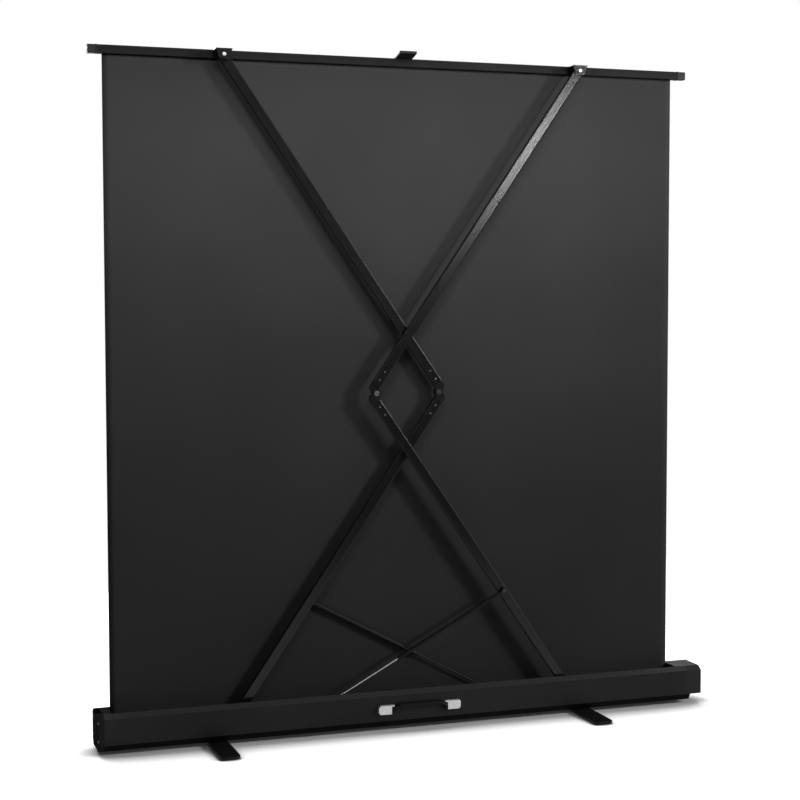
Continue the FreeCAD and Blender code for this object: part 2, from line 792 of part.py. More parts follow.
def base_bracket(x, layer_y):
    near_face = layer_y - half_arm - side_clearance
    far_face = layer_y + half_arm + side_clearance
    top = base_pivot_z + base_bracket_above_pivot
    half = base_bracket_half_width
    whole = span_box(x - half, x + half, near_face - base_bracket_sheet, far_face + base_bracket_sheet,
                     floor_top, top)
    room = span_box(x - half - overrun, x + half + overrun, near_face, far_face,
                    floor_top + base_bracket_sheet, top + overrun)
    hole = bar_along_y(pin_radius + fixed_clearance, x, base_pivot_z, near_face - overrun, far_face + overrun)
    return whole.cut(room).cut(hole)


def base_pin(x, layer_y):
    reach = half_arm + side_clearance + base_bracket_sheet
    whole = bar_along_y(pin_radius, x, base_pivot_z, layer_y - reach, layer_y + reach)
    for side in (-1, 1):
        face_y = layer_y + side * reach
        end_y = face_y + side * base_pin_head_height
        whole = whole.fuse(bar_along_y(base_pin_head_radius, x, base_pivot_z, face_y, end_y))
    return whole.removeSplitter()


parts["base_brackets"] = group([base_bracket(left_pivot_x, far_layer_y),
                                base_bracket(right_pivot_x, near_layer_y)])
parts["base_pivot_pins"] = group([base_pin(left_pivot_x, far_layer_y), base_pin(right_pivot_x, near_layer_y)])


# Gas springs, drawn along +X from the stud at the origin, then placed

def spring_cylinder():
    half_eye = spring_eye_width / 2
    tube_end = spring_tube_start + spring_tube_length
    inner = spring_tube_radius - spring_tube_wall
    eye = bar_along_y(spring_eye_radius, 0, 0, -half_eye, half_eye)
    neck = bar_along_x(spring_neck_radius, 0, 0, 0, spring_neck_end)
    tube = bar_along_x(spring_tube_radius, 0, 0, spring_tube_start, tube_end)
    whole = eye.fuse([neck, tube]).removeSplitter()
    room = bar_along_x(inner, 0, 0, spring_tube_start + spring_gland_length, tube_end - spring_gland_length)
    gland = bar_along_x(spring_rod_radius + running_clearance, 0, 0, tube_end - spring_gland_length - overrun,
                        tube_end + overrun)
    bore = bar_along_y(pin_radius + running_clearance, 0, 0, -spring_eye_width, spring_eye_width)
    return whole.cut(room).cut(gland).cut(bore)


def spring_rod():
    half_eye = spring_eye_width / 2
    piston_end = spring_tube_start + spring_tube_length - spring_piston_setback
    piston_radius = spring_tube_radius - spring_tube_wall - running_clearance
    rod = bar_along_x(spring_rod_radius, 0, 0, piston_end - spring_piston_length, spring_length)
    piston = bar_along_x(piston_radius, 0, 0, piston_end - spring_piston_length, piston_end)
    eye = bar_along_y(spring_eye_radius, spring_length, 0, -half_eye, half_eye)
    pin_reach = half_eye + side_clearance - stud_end_gap
    cross_pin = bar_along_y(pin_radius, spring_length, 0, -pin_reach, pin_reach)
    return rod.fuse([piston, eye, cross_pin]).removeSplitter()


def placed_spring_left(shape):
    moved = shape.copy()
    moved.rotate(origin, axis_y, math.degrees(spring_drop))
    moved.translate(spring_top)
    return moved


def placed_spring_right(shape):
    moved = mirrored_x_across(placed_spring_left(shape), leg_x)
    moved.translate(Vector(0, far_to_near - 2 * spring_offset, 0))
    return moved


def spring_anchor(x, plane_y):
    inside = spring_eye_width / 2 + side_clearance
    outside = inside + anchor_sheet
    top = anchor_z + spring_eye_radius
    half = anchor_half_width
    low_y = plane_y - inside
    high_y = plane_y + inside
    flange_top = floor_top + anchor_sheet
    whole = span_box(x - half, x + half, plane_y - outside, plane_y + outside, floor_top, top)
    room = span_box(x - half - overrun, x + half + overrun, low_y, high_y, flange_top, top + overrun)
    flange = span_box(x - anchor_flange_half_length, x + anchor_flange_half_length, low_y, high_y, floor_top,
                      flange_top)
    hole = bar_along_y(pin_radius + open_pivot_clearance, x, anchor_z, low_y - overrun, high_y + overrun)
    return whole.cut(room).fuse(flange).removeSplitter().cut(hole)


right_anchor_x = 2 * leg_x - left_anchor.x
right_spring_y = near_layer_y - spring_offset
for side_name, place in (("left", placed_spring_left), ("right", placed_spring_right)):
    parts[side_name + "_gas_cylinder"] = place(spring_cylinder())
    parts[side_name + "_gas_rod"] = place(spring_rod())
parts["spring_anchors"] = group([spring_anchor(left_anchor.x, left_anchor.y),
                                 spring_anchor(right_anchor_x, right_spring_y)])


# Feet

def rounded_plate(x, y, half_x, half_y, corner, z_low, z_high):
    plate = span_box(x - half_x, x + half_x, y - half_y, y + half_y, z_low, z_high)
    return plate.makeFillet(corner, edges_along(plate, axis_z))


def foot(x):
    bar = rounded_plate(x, 0, foot_width / 2, foot_length / 2, foot_corner, foot_low, foot_top)
    bar = bar.makeFillet(foot_edge_radius, edges_near(bar, "z", foot_top))
    below = foot_low - overrun
    bar = bar.cut(bar_along_z(foot_bolt_radius + running_clearance, x, 0, below, foot_top + overrun))
    pocket_radius = foot_bolt_head_radius + foot_bolt_pocket_gap
    return bar.cut(bar_along_z(pocket_radius, x, 0, below, foot_low + foot_bolt_pocket))


def foot_pads(x):
    y = foot_length / 2 - pad_end_margin - pad_length / 2
    return group([rounded_plate(x, side * y, pad_width / 2, pad_length / 2, pad_corner, 0, foot_low)
                  for side in (-1, 1)])


def foot_washer(x):
    washer = bar_along_z(foot_washer_radius, x, 0, foot_top + fixed_clearance, case_underside)
    return washer.cut(bar_along_z(foot_bolt_radius + fixed_clearance, x, 0, foot_low, floor_top))


def foot_bolt(x):
    head_top = foot_low + foot_bolt_pocket - fixed_clearance
    head = bar_along_z(foot_bolt_head_radius, x, 0, head_top - foot_bolt_head_height, head_top)
    shank = bar_along_z(foot_bolt_radius, x, 0, head_top, floor_top)
    nut = bar_along_z(foot_nut_radius, x, 0, floor_top, floor_top + foot_nut_height)
    return head.fuse([shank, nut]).removeSplitter()


for side_name, foot_x in (("left", left_foot_x), ("right", right_foot_x)):
    parts[side_name + "_foot"] = foot(foot_x)
    parts[side_name + "_foot_pads"] = foot_pads(foot_x)
parts["foot_washers"] = group([foot_washer(left_foot_x), foot_washer(right_foot_x)])
parts["foot_bolts"] = group([foot_bolt(left_foot_x), foot_bolt(right_foot_x)])


# Carry handle on the rear face

def handle_mount():
    top = mount_z + mount_height
    block = span_box(mount_inner_x, handle_half_length, mount_rear, -half_depth, mount_z, top)
    middle_x = mount_inner_x + mount_width / 2
    outer = [edge for edge in edges_along(block, axis_y) if edge.CenterOfMass.x > middle_x]
    block = block.makeFillet(mount_outer_radius, outer)
    tongue = span_box(mount_inner_x - tongue_length, mount_inner_x + overrun, mount_rear, -half_depth,
                      top - tongue_height, top)
    block = block.fuse(tongue).removeSplitter()
    block = block.makeFillet(mount_edge_radius, edges_near(block, "y", mount_rear))
    hole_end = mount_inner_x + handle_pin_seat
    return block.cut(handle_bar(handle_pin_radius + fixed_clearance, mount_inner_x - overrun, hole_end))


def handle_bar(radius, x_low, x_high):
    return bar_along_x(radius, handle_axis_y, handle_axis_z, x_low, x_high)


def handle_pin():
    return handle_bar(handle_pin_radius, handle_arm_x - handle_tube_radius, mount_inner_x + handle_pin_seat)


def handle_bail():
    bend_z = handle_axis_z + handle_bend_rise
    half = [Vector(handle_rod_half_length, handle_axis_y, handle_rod_z),
            Vector(handle_arm_x, handle_axis_y, bend_z), Vector(handle_arm_x, handle_axis_y, handle_axis_z)]
    bail = bar_along_x(handle_tube_radius, handle_axis_y, handle_rod_z, -handle_rod_half_length,
                       handle_rod_half_length)
    for side in (-1, 1):
        points = [Vector(side * point.x, point.y, point.z) for point in half]
        runs = [round_bar(handle_tube_radius, low, high) for low, high in zip(points, points[1:])]
        knees = [Part.makeSphere(handle_tube_radius, point) for point in points[:-1]]
        eye_x = side * handle_arm_x
        eye = handle_bar(handle_eye_radius, eye_x - handle_tube_radius, eye_x + handle_tube_radius)
        bail = bail.fuse(runs + knees + [eye])
    bore = handle_bar(handle_pin_radius + running_clearance, -handle_half_length, handle_half_length)
    return bail.removeSplitter().cut(bore)


def handle_grip():
    sleeve = bar_along_x(grip_radius, handle_axis_y, handle_rod_z, -grip_half_length, grip_half_length)
    rims = edges_near(sleeve, "x", -grip_half_length) + edges_near(sleeve, "x", grip_half_length)
    sleeve = sleeve.makeFillet(grip_end_radius, rims)
    return sleeve.cut(bar_along_x(handle_tube_radius + fixed_clearance, handle_axis_y, handle_rod_z,
                                  -handle_half_length, handle_half_length))


parts["handle_mounts"] = group([handle_mount(), mirrored_x_across(handle_mount(), 0)])
parts["handle_pins"] = group([handle_pin(), mirrored_x_across(handle_pin(), 0)])
parts["handle_bail"] = handle_bail()
parts["handle_grip"] = handle_grip()

for name, shape in parts.items():
    solids = shape.Solids
    if not solids or not shape.isValid():
        print("unsound", name, len(solids))
    shape.exportStep("parts/%s.step" % name)

folded_spring_top = Vector(left_pivot_x + spring_on_arm * math.cos(folded_angle - lean), left_anchor.y,
                           base_pivot_z + spring_on_arm * math.sin(folded_angle - lean))
folded_spring = left_anchor - folded_spring_top
print("nodes", len(parts))
print("lowering angle", math.degrees(raised_angle - folded_angle))
print("spring lengths raised and folded", spring_length, folded_spring.Length)
print("spring drop angles raised and folded", math.degrees(spring_drop),
      math.degrees(math.atan2(-folded_spring.z, folded_spring.x)))
print("spring top", spring_top.x, spring_top.y, spring_top.z)
print("elbows", leg_x - pivot_half_spacing + link_length * math.cos(raised_angle), elbow_z)
print("pivots", left_pivot_x, right_pivot_x, base_pivot_z, top_pivot_z)
print("bar travel", top_pivot_z - folded_pivot_z, "roller", roller_y, roller_z)
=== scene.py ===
import bpy
import bmesh
import json
import math
from mathutils import Matrix, Vector, noise


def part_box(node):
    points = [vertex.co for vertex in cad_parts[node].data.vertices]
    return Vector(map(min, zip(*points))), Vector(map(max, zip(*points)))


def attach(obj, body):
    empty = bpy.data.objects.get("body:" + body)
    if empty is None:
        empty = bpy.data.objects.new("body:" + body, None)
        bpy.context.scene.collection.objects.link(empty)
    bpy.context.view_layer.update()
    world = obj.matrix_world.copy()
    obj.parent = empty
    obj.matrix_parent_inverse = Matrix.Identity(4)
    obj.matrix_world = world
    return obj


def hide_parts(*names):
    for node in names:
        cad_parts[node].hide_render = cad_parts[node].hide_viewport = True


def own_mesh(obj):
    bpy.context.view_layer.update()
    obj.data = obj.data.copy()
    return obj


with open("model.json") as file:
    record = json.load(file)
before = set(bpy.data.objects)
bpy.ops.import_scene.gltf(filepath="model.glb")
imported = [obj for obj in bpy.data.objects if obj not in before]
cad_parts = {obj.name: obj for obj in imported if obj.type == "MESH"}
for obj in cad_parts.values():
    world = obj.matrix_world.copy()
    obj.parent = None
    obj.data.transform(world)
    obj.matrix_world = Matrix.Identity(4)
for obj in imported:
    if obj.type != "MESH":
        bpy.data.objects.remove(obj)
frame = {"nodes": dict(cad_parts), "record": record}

scene = bpy.context.scene
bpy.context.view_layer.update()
nodes = frame["nodes"]

# camera
cameraSettings = {
    "place": (-1.6696, -4.7122, 1.3078),  # metres, in the part's frame
    "yaw": 0.3332,  # radians to the right of +Y
    "pitch": 0.0624,  # radians downward
    "roll": -0.0016,
    "lens": 74.37,
    "sensor": 36.0,
    "clipEnd": 60,
}


def makeCamera(s):
    level = math.cos(s["pitch"])
    forward = Vector((math.sin(s["yaw"]) * level, math.cos(s["yaw"]) * level, -math.sin(s["pitch"])))
    right = Vector((math.cos(s["yaw"]), -math.sin(s["yaw"]), 0))
    up = right.cross(forward)
    tiltRight = math.cos(s["roll"]) * right + math.sin(s["roll"]) * up
    tiltUp = -math.sin(s["roll"]) * right + math.cos(s["roll"]) * up
    data = bpy.data.cameras.new("camera")
    data.lens = s["lens"]
    data.sensor_width = s["sensor"]
    data.clip_end = s["clipEnd"]
    camera = bpy.data.objects.new("camera", data)
    scene.collection.objects.link(camera)
    turn = Matrix((tiltRight, tiltUp, -forward)).transposed()
    camera.matrix_world = Matrix.Translation(Vector(s["place"])) @ turn.to_4x4()
    scene.camera = camera


makeCamera(cameraSettings)
scene.view_settings.view_transform = "Standard"
print("camera set")


# nodes that several materials share
def combine(tree, operation, first, second):
    node = tree.nodes.new("ShaderNodeMath")
    node.operation = operation
    tree.links.new(first, node.inputs[0])
    tree.links.new(second, node.inputs[1])
    return node.outputs[0]


def mapRange(tree, value, fromRange, toRange, curve="LINEAR"):
    node = tree.nodes.new("ShaderNodeMapRange")
    node.interpolation_type = curve
    node.inputs["From Min"].default_value, node.inputs["From Max"].default_value = fromRange
    node.inputs["To Min"].default_value, node.inputs["To Max"].default_value = toRange
    tree.links.new(value, node.inputs["Value"])
    return node.outputs["Result"]


# lamps, in metres, watts and degrees
lampSettings = {
    "key": {
        "place": (4.97, -3.16, 2.9), "aim": (-1.52, 0.0, 2.63),
        "size": (0.7, 0.7), "power": 52, "spread": 74,
    },
    "fill": {  # the key's light again from a wide lamp, so that its shadows aren't deep
        "place": (4.97, -3.16, 2.9), "aim": (-1.52, 0.0, 2.63),
        "size": (3.4, 3.4), "power": 26, "spread": 74,
    },
    "overhead": {
        "place": (-0.23, -0.85, 2.4), "aim": (-0.23, 0.0, 1.65),
        "size": (2.6, 0.4), "power": 5.7, "spread": 62,
    },
    "strip": {  # shines on the right upper arm
        "place": (2.5, -4.6, 2.1), "aim": (0.4, 0.0, 1.75),
        "size": (0.25, 0.6), "power": 1.1, "spread": 24,
    },
    "edge": {
        "place": (-2.0, -2.8, 3.0), "aim": (0.0, 0.0, 1.1),
        "size": (0.35, 0.9), "power": 1.25, "spread": 50,
    },
    "side": {  # the case's right end
        "place": (2.0, -0.7, 0.8), "aim": (0.9, 0.0, 0.3),
        "size": (0.5, 0.5), "power": 0.9, "spread": 80,
    },
    "front": {  # the white side of the fabric
        "place": (-1.4, 3.4, 2.4), "aim": (0.0, 0.0, 1.0),
        "size": (2.2, 2.0), "power": 125, "spread": 180,
    },
}


def makeAreaLight(name, s):
    data = bpy.data.lights.new(name, "AREA")
    data.shape = "RECTANGLE"
    data.size, data.size_y = s["size"]
    data.energy = s["power"]
    data.spread = math.radians(s["spread"])
    lamp = bpy.data.objects.new(name, data)
    scene.collection.objects.link(lamp)
    lamp.visible_camera = False
    lamp.location = s["place"]
    lamp.rotation_euler = (Vector(s["aim"]) - Vector(s["place"])).to_track_quat("-Z", "Y").to_euler()


# surroundings, white to the camera and faint as a light
skySettings = {
    "diffuse": 0.03,
    "seen": 1.0,
    "behindCamera": 0.15,  # the studio side is darker than the white backdrop
    "turn": (-0.6, 0.35),  # the share of +Y in a direction over which it brightens
}


def makeWorld(s):
    world = bpy.data.worlds.new("studio")
    scene.world = world
    world.use_nodes = True
    tree = world.node_tree
    background = tree.nodes["Background"]
    background.inputs["Color"].default_value = (1, 1, 1, 1)
    path = tree.nodes.new("ShaderNodeLightPath")
    place = tree.nodes.new("ShaderNodeTexCoord")
    parts = tree.nodes.new("ShaderNodeSeparateXYZ")
    tree.links.new(place.outputs["Generated"], parts.inputs["Vector"])
    # what a shiny surface sees, by direction
    around = mapRange(tree, parts.outputs["Y"], s["turn"], (s["behindCamera"], s["seen"]), "SMOOTHSTEP")
    shiny = tree.nodes.new("ShaderNodeMix")
    shiny.inputs["A"].default_value = s["diffuse"]
    tree.links.new(around, shiny.inputs["B"])
    glossy = combine(tree, "MAXIMUM", path.outputs["Is Glossy Ray"], path.outputs["Is Transmission Ray"])
    tree.links.new(glossy, shiny.inputs["Factor"])
    direct = tree.nodes.new("ShaderNodeMix")
    direct.inputs["B"].default_value = s["seen"]
    tree.links.new(path.outputs["Is Camera Ray"], direct.inputs["Factor"])
    tree.links.new(shiny.outputs["Result"], direct.inputs["A"])
    tree.links.new(direct.outputs["Result"], background.inputs["Strength"])


# floor, white where it is seen, with a soft shadow where the part stands close
floorSettings = {
    "half": 2.6,
    "drop": 0.0005,  # clear of the feet's undersides
    "colour": (0.8, 0.8, 0.8),
    "rough": 0.9,
    "specular": 0.1,
    "shadowSamples": 8,
    "shadowReach": 0.22,  # how far the contact shadow under the case spreads
    "shadowRange": (0.60, 0.90),
    "lift": (0.02, 1.0),
}


def makeFloor(s):
    mesh = bpy.data.meshes.new("floor")
    h = s["half"]
    mesh.from_pydata([(-h, -h, 0), (h, -h, 0), (h, h, 0), (-h, h, 0)], [], [(0, 1, 2, 3)])
    floor = bpy.data.objects.new("floor", mesh)
    scene.collection.objects.link(floor)
    floor.location.z = -s["drop"]
    paper = bpy.data.materials.new("floorPaper")
    paper.use_nodes = True
    tree = paper.node_tree
    shader = tree.nodes["Principled BSDF"]
    shader.inputs["Base Color"].default_value = (*s["colour"], 1)
    shader.inputs["Roughness"].default_value = s["rough"]
    shader.inputs["Specular IOR Level"].default_value = s["specular"]
    shader.inputs["Emission Color"].default_value = (1, 1, 1, 1)
    under = tree.nodes.new("ShaderNodeAmbientOcclusion")
    under.samples = s["shadowSamples"]
    under.inputs["Distance"].default_value = s["shadowReach"]
    soft = mapRange(tree, under.outputs["AO"], s["shadowRange"], s["lift"])
    path = tree.nodes.new("ShaderNodeLightPath")
    seen = combine(tree, "MAXIMUM", path.outputs["Is Camera Ray"], path.outputs["Is Glossy Ray"])
    seen = combine(tree, "MAXIMUM", seen, path.outputs["Is Transmission Ray"])
    tree.links.new(combine(tree, "MULTIPLY", seen, soft), shader.inputs["Emission Strength"])
    mesh.materials.append(paper)


for lampName, settings in lampSettings.items():
    makeAreaLight(lampName, settings)
makeWorld(skySettings)
makeFloor(floorSettings)
print("light and floor set")


# finishes
def startFinish(name):
    finish = bpy.data.materials.new(name)
    finish.use_nodes = True
    tree = finish.node_tree
    place = tree.nodes.new("ShaderNodeTexCoord")
    return finish, tree, tree.nodes["Principled BSDF"], place.outputs["Object"]


def noiseAt(tree, coords, scale, detail=4.0):
    cloud = tree.nodes.new("ShaderNodeTexNoise")
    cloud.inputs["Scale"].default_value = scale
    cloud.inputs["Detail"].default_value = detail
    tree.links.new(coords, cloud.inputs["Vector"])
    return cloud.outputs["Fac"]


noiseRange = (0.3, 0.7)  # where most of a noise's values lie
toneRange = (0.35, 0.65)


def twoTone(tree, value, dark, light):
    ramp = tree.nodes.new("ShaderNodeValToRGB")
    first, last = ramp.color_ramp.elements
    first.position, last.position = toneRange
    first.color = (*dark, 1)
    last.color = (*light, 1)
    tree.links.new(value, ramp.inputs["Fac"])
    return ramp.outputs["Color"]


def raiseBump(tree, shader, height, strength, distance):
    bump = tree.nodes.new("ShaderNodeBump")
    bump.inputs["Strength"].default_value = strength
    bump.inputs["Distance"].default_value = distance
    tree.links.new(height, bump.inputs["Height"])
    tree.links.new(bump.outputs["Normal"], shader.inputs["Normal"])


coolTint = 1.03  # paint and metal are very slightly blue


def grey(value, tint=1.0):
    return (value, value, value * tint)


# a little settled dust and painted light from above on faces that look up, a lighter tone mixed in by how far
# up a face looks
dustAndTopLightSettings = {
    "upRange": (0.4, 0.9),  # how far up a face looks before the dust and painted top light lie on it
    "factorSocket": 0, "cleanSocket": 6, "dustAndTopLightSocket": 7, "resultSocket": 2,  # of a colour mix
}


def dustedAndTopLit(tree, colour, tone, s):
    place = tree.nodes.new("ShaderNodeTexCoord")
    parts = tree.nodes.new("ShaderNodeSeparateXYZ")
    tree.links.new(place.outputs["Normal"], parts.inputs["Vector"])
    blend = tree.nodes.new("ShaderNodeMix")
    blend.data_type = "RGBA"
    share = mapRange(tree, parts.outputs["Z"], s["upRange"], (0.0, 1.0))
    tree.links.new(share, blend.inputs[s["factorSocket"]])
    tree.links.new(colour, blend.inputs[s["cleanSocket"]])
    blend.inputs[s["dustAndTopLightSocket"]].default_value = (*grey(tone), 1)
    return blend.outputs[s["resultSocket"]]


paintDefaults = {
    "uneven": 0.14,  # share by which the tone varies either way
    "cloudScale": 6.0,
    "patchScale": 34.0,  # smoother and duller patches
    "vary": 0.055,
    "grainScale": 900.0,
    "grainDetail": 2.0,
    "bump": 0.25,
    "bumpDepth": 0.0002,
}


def paintFinish(name, own):
    s = {**paintDefaults, **own}
    finish, tree, shader, coords = startFinish(name)
    cloud = noiseAt(tree, coords, s["cloudScale"])
    dark, light = s["tone"] * (1 - s["uneven"]), s["tone"] * (1 + s["uneven"])
    colour = twoTone(tree, cloud, grey(dark, coolTint), grey(light, coolTint))
    # upward faces get a lighter tone: settled dust and painted light from above
    if "dustAndTopLight" in s:
        colour = dustedAndTopLit(tree, colour, s["dustAndTopLight"], dustAndTopLightSettings)
    tree.links.new(colour, shader.inputs["Base Color"])
    fine = noiseAt(tree, coords, s["grainScale"], s["grainDetail"])
    patches = noiseAt(tree, coords, s["patchScale"])
    roughRange = (s["rough"] - s["vary"], s["rough"] + s["vary"])
    tree.links.new(mapRange(tree, patches, noiseRange, roughRange), shader.inputs["Roughness"])
    raiseBump(tree, shader, fine, s["bump"], s["bumpDepth"])
    shader.inputs["Specular IOR Level"].default_value = s["specular"]
    return finish


# moulded plastic and rubber with a fine leather-like grain
grainDefaults = {
    "uneven": 0.15,
    "cloudScale": 22.0,
    "smoother": 0.05,
    "duller": 0.07,
    "grainScale": 1100.0,
    "bump": 0.3,
    "bumpDepth": 0.0003,
    "specular": 0.4,
}


def grainFinish(name, own):
    s = {**grainDefaults, **own}
    finish, tree, shader, coords = startFinish(name)
    cells = tree.nodes.new("ShaderNodeTexVoronoi")
    cells.inputs["Scale"].default_value = s["grainScale"]
    tree.links.new(coords, cells.inputs["Vector"])
    cloud = noiseAt(tree, coords, s["cloudScale"])
    dark, light = s["tone"] * (1 - s["uneven"]), s["tone"] * (1 + s["uneven"])
    tree.links.new(twoTone(tree, cloud, grey(dark), grey(light)), shader.inputs["Base Color"])
    roughRange = (s["rough"] - s["smoother"], s["rough"] + s["duller"])
    tree.links.new(mapRange(tree, cloud, noiseRange, roughRange), shader.inputs["Roughness"])
    raiseBump(tree, shader, cells.outputs["Distance"], s["bump"], s["bumpDepth"])
    shader.inputs["Specular IOR Level"].default_value = s["specular"]
    return finish


# drawn or turned metal, with fine streaks along one axis
metalDefaults = {
    "darker": 0.12,
    "lighter": 0.06,
    "smoother": 0.06,
    "duller": 0.08,
    "streakScale": 260.0,
    "streakDetail": 6.0,
    "stretch": (0.06, 1.0, 1.0),
    "bump": 0.08,
    "bumpDepth": 0.0002,
    "metallic": 1.0,
}


def metalFinish(name, own):
    s = {**metalDefaults, **own}
    finish, tree, shader, coords = startFinish(name)
    mapping = tree.nodes.new("ShaderNodeMapping")
    mapping.inputs["Scale"].default_value = s["stretch"]
    tree.links.new(coords, mapping.inputs["Vector"])
    streaks = noiseAt(tree, mapping.outputs["Vector"], s["streakScale"], s["streakDetail"])
    dark, light = s["tone"] * (1 - s["darker"]), s["tone"] * (1 + s["lighter"])
    tree.links.new(twoTone(tree, streaks, grey(dark, coolTint), grey(light, coolTint)),
                   shader.inputs["Base Color"])
    roughRange = (s["rough"] - s["smoother"], s["rough"] + s["duller"])
    tree.links.new(mapRange(tree, streaks, noiseRange, roughRange), shader.inputs["Roughness"])
    raiseBump(tree, shader, streaks, s["bump"], s["bumpDepth"])
    shader.inputs["Metallic"].default_value = s["metallic"]
    return finish


# plain weave, two crossing waves
clothDefaults = {
    "threads": 420.0,
    "distortion": 0.6,
    "threadDetail": 1.0,
    "threadDetailScale": 1.5,
    "cloudScale": 2.4,
    "cloudDetail": 5.0,
    "vary": 0.06,
    "bump": 0.15,
    "bumpDepth": 0.0002,
}


def clothFinish(name, own):
    s = {**clothDefaults, **own}
    finish, tree, shader, coords = startFinish(name)
    waves = []
    for axis in ("X", "Z"):
        wave = tree.nodes.new("ShaderNodeTexWave")
        wave.wave_type = "BANDS"
        wave.bands_direction = axis
        wave.inputs["Scale"].default_value = s["threads"]
        wave.inputs["Distortion"].default_value = s["distortion"]
        wave.inputs["Detail"].default_value = s["threadDetail"]
        wave.inputs["Detail Scale"].default_value = s["threadDetailScale"]
        tree.links.new(coords, wave.inputs["Vector"])
        waves.append(wave.outputs["Fac"])
    weave = combine(tree, "MULTIPLY", *waves)
    cloud = noiseAt(tree, coords, s["cloudScale"], s["cloudDetail"])
    dark, light = s["tone"] * (1 - s["uneven"]), s["tone"] * (1 + s["uneven"])
    tree.links.new(twoTone(tree, cloud, grey(dark), grey(light)), shader.inputs["Base Color"])
    roughRange = (s["rough"] - s["vary"], s["rough"] + s["vary"])
    tree.links.new(mapRange(tree, weave, (0.0, 1.0), roughRange), shader.inputs["Roughness"])
    raiseBump(tree, shader, weave, s["bump"], s["bumpDepth"])
    shader.inputs["Specular IOR Level"].default_value = s["specular"]
    return finish


finishSettings = {
    # the case's upward faces are lightened, as dust and painted light from above
    "case_paint": (paintFinish, {"tone": 0.016, "rough": 0.42, "specular": 0.12, "dustAndTopLight": 0.048}),
    "dark_sheet": (paintFinish, {"tone": 0.006, "rough": 0.6, "specular": 0.05}),
    "cap_plastic": (grainFinish, {"tone": 0.016, "rough": 0.5, "specular": 0.16}),
    "cap_matte": (grainFinish, {"tone": 0.022, "rough": 0.75, "specular": 0.0}),
    "bar_paint": (paintFinish, {"tone": 0.012, "rough": 0.55, "specular": 0.06}),
    "arm_paint": (paintFinish, {"tone": 0.006, "rough": 0.22, "vary": 0.012, "bump": 0.12, "specular": 0.22}),
    "elbow_metal": (paintFinish, {"tone": 0.006, "rough": 0.4, "specular": 0.12}),
    "screw_steel": (metalFinish, {"tone": 0.06, "rough": 0.4}),
    "pin_steel": (metalFinish, {"tone": 0.72, "rough": 0.3}),
    "disc_steel": (metalFinish, {"tone": 0.22, "rough": 0.38}),
    "roller_aluminium": (metalFinish, {"tone": 0.62, "rough": 0.34}),
    "roller_plastic": (grainFinish, {"tone": 0.03, "rough": 0.5}),
    "cylinder_paint": (paintFinish, {"tone": 0.006, "rough": 0.32, "specular": 0.15}),
    "rod_chrome": (metalFinish, {"tone": 0.5, "rough": 0.14, "bump": 0.03}),
    # the next three are darker copies of the chrome rod and the pin steel, painted shade for the left gas rod
    # and the elbow pins
    "rod_painted_shade": (metalFinish, {"tone": 0.02, "rough": 0.45, "bump": 0.03}),
    "pin_painted_shade": (metalFinish, {"tone": 0.05, "rough": 0.42}),
    "pin_painted_half_shade": (metalFinish, {"tone": 0.13, "rough": 0.42}),
    "foot_paint": (paintFinish, {"tone": 0.008, "rough": 0.5, "specular": 0.12}),
    "black_rubber": (grainFinish, {"tone": 0.008, "rough": 0.62, "specular": 0.12, "grainScale": 1500.0}),
    "washer_plastic": (grainFinish, {"tone": 0.03, "rough": 0.5}),
    "handle_silver": (metalFinish, {"tone": 0.66, "rough": 0.4, "stretch": (1.0, 1.0, 1.0), "metallic": 0.6}),
    "bail_paint": (paintFinish, {"tone": 0.006, "rough": 0.4, "specular": 0.12}),
    "clothBack": (clothFinish, {"tone": 0.036, "uneven": 0.06, "rough": 0.9, "specular": 0.01}),
    "clothFront": (clothFinish, {"tone": 0.80, "uneven": 0.012, "rough": 0.9, "specular": 0.2}),
}
finishes = {name: make(name, own) for name, (make, own) in finishSettings.items()}
ownFinish = {  # pieces that are darker or duller than the rest of their slot: the left gas rod and both elbow pins are darkened as painted shade, the right pin more than the left, and the left end cap is matte
    "left_gas_rod": "rod_painted_shade",
    "left_elbow_pin": "pin_painted_half_shade",
    "right_elbow_pin": "pin_painted_shade",
    "left_end_cap": "cap_matte",
}
for part in frame["record"]["subparts"]:
    slotName = ownFinish.get(part["node"], part["material_slot"])
    if slotName in finishes:  # all but the fabric's slot
        mesh = nodes[part["node"]].data
        mesh.materials.clear()
        mesh.materials.append(finishes[slotName])
print("finishes set", len(finishes))

# screen fabric, a taut thin sheet with a black back and a white front
fabricSettings = {
    "columns": 90,
    "rows": 98,
    "border": 0.045,  # black margin round the white front
    "lowerBorder": 0.12,  # the margin from the roller up
    "bow": 0.0005,  # slight unevenness of the taut cloth
    "bowWaves": (1.3, 0.8),  # across and along, per metre
    "holdPower": 0.5,
    "rimTurn": 0.5,  # faces that look further aside than this are the rim
    "barDown": 0.1215,  # the bar's underside when it is lowered
}


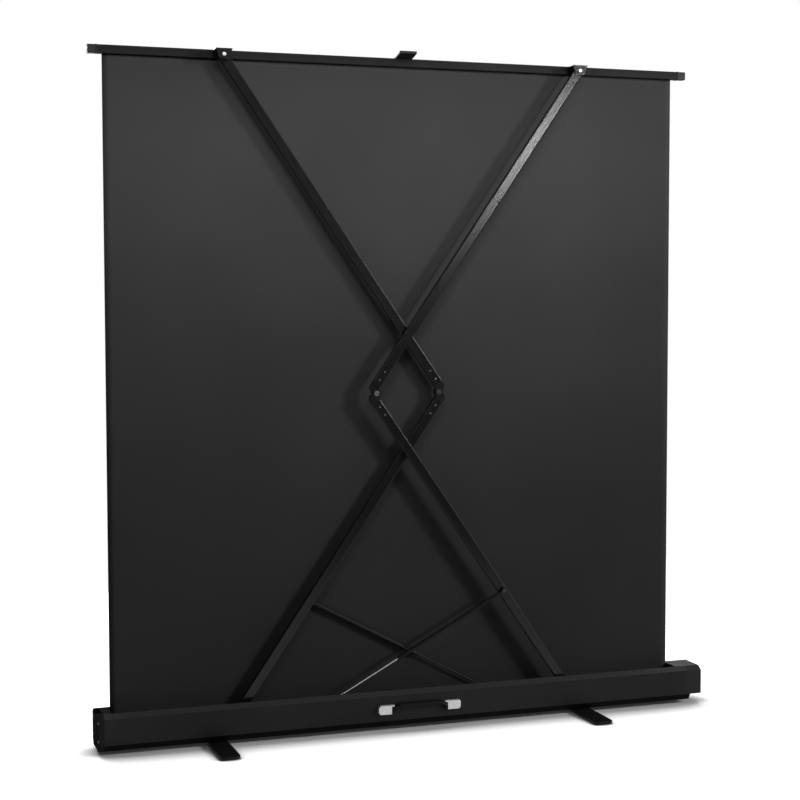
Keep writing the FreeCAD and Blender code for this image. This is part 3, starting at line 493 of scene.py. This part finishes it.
def makeFabric(s):
    low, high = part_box("screen_fabric")
    waveX, waveZ = s["bowWaves"]
    body = bmesh.new()
    layers = []
    for y in (low.y, high.y):
        grid = []
        for r in range(s["rows"] + 1):
            row = []
            for c in range(s["columns"] + 1):
                u, v = c / s["columns"], r / s["rows"]
                x = low.x + (high.x - low.x) * u
                z = low.z + (high.z - low.z) * v
                hold = math.sin(math.pi * v) ** s["holdPower"]  # flat where the bar and the roller hold it
                lift = s["bow"] * hold * noise.noise(Vector((x * waveX, 0.0, z * waveZ)))
                row.append(body.verts.new((x, y + lift, z)))
            grid.append(row)
        layers.append(grid)
    back, front = layers
    for r in range(s["rows"]):
        for c in range(s["columns"]):
            body.faces.new((back[r][c], back[r][c + 1], back[r + 1][c + 1], back[r + 1][c]))
            face = body.faces.new((front[r][c], front[r + 1][c], front[r + 1][c + 1], front[r][c + 1]))
            middle = face.calc_center_median()
            inside = (low.x + s["border"] < middle.x < high.x - s["border"]
                      and low.z + s["lowerBorder"] < middle.z < high.z - s["border"])
            face.material_index = 1 if inside else 0
    rim = [(0, c) for c in range(s["columns"] + 1)]
    rim += [(r, s["columns"]) for r in range(1, s["rows"] + 1)]
    rim += [(s["rows"], c) for c in range(s["columns"] - 1, -1, -1)]
    rim += [(r, 0) for r in range(s["rows"] - 1, 0, -1)]
    for (r0, c0), (r1, c1) in zip(rim, rim[1:] + rim[:1]):
        body.faces.new((back[r1][c1], back[r0][c0], front[r0][c0], front[r1][c1]))
    bmesh.ops.recalc_face_normals(body, faces=body.faces)
    mesh = bpy.data.meshes.new("screenCloth")
    body.to_mesh(mesh)
    body.free()
    mesh.materials.append(finishes["clothBack"])
    mesh.materials.append(finishes["clothFront"])
    for polygon in mesh.polygons:
        polygon.use_smooth = abs(polygon.normal.y) > s["rimTurn"]  # the thin rim stays flat
    cloth = bpy.data.objects.new("screenCloth", mesh)
    scene.collection.objects.link(cloth)
    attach(cloth, "case")
    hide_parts("screen_fabric")
    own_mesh(cloth)
    return cloth, (high.x - low.x, high.z - low.z)


# the last turns on the roller, a spiral of the same cloth
wrapSettings = {
    "turns": 1.55,
    "steps": 48,  # in a turn
    "columns": 24,
    "thickness": 0.00042,
    "inset": 0.00002,  # inside the solid that it replaces
    "depth": 0.00092,  # from the innermost to the outermost face
}


def makeWrap(s):
    low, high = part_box("fabric_wrap")
    middleY, middleZ = (low.y + high.y) / 2, (low.z + high.z) / 2
    outer = (high.z - low.z) / 2 - s["inset"]
    inner = outer - s["depth"]
    body = bmesh.new()
    total = int(s["turns"] * s["steps"])
    rings = []
    for k in range(total + 1):
        share = k / total
        angle = 2 * math.pi * s["turns"] * share
        top = inner + s["thickness"] + (outer - inner - s["thickness"]) * share
        pair = []
        for radius in (top - s["thickness"], top):
            y = middleY - radius * math.cos(angle)
            z = middleZ + radius * math.sin(angle)
            pair.append([body.verts.new((low.x + (high.x - low.x) * c / s["columns"], y, z))
                         for c in range(s["columns"] + 1)])
        rings.append(pair)
    for a, b in zip(rings, rings[1:]):
        for c in range(s["columns"]):
            body.faces.new((a[1][c], a[1][c + 1], b[1][c + 1], b[1][c]))
            body.faces.new((a[0][c], b[0][c], b[0][c + 1], a[0][c + 1]))
        for c in (0, s["columns"]):
            body.faces.new((a[0][c], a[1][c], b[1][c], b[0][c]))
    for ring in (rings[0], rings[-1]):
        for c in range(s["columns"]):
            body.faces.new((ring[0][c], ring[0][c + 1], ring[1][c + 1], ring[1][c]))
    bmesh.ops.recalc_face_normals(body, faces=body.faces)
    mesh = bpy.data.meshes.new("rolledCloth")
    body.to_mesh(mesh)
    body.free()
    mesh.materials.append(finishes["clothBack"])
    for polygon in mesh.polygons:
        polygon.use_smooth = True
    roll = bpy.data.objects.new("rolledCloth", mesh)
    scene.collection.objects.link(roll)
    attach(roll, "roller")
    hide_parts("fabric_wrap")


cloth, clothSize = makeFabric(fabricSettings)
makeWrap(wrapSettings)
print("fabric made")
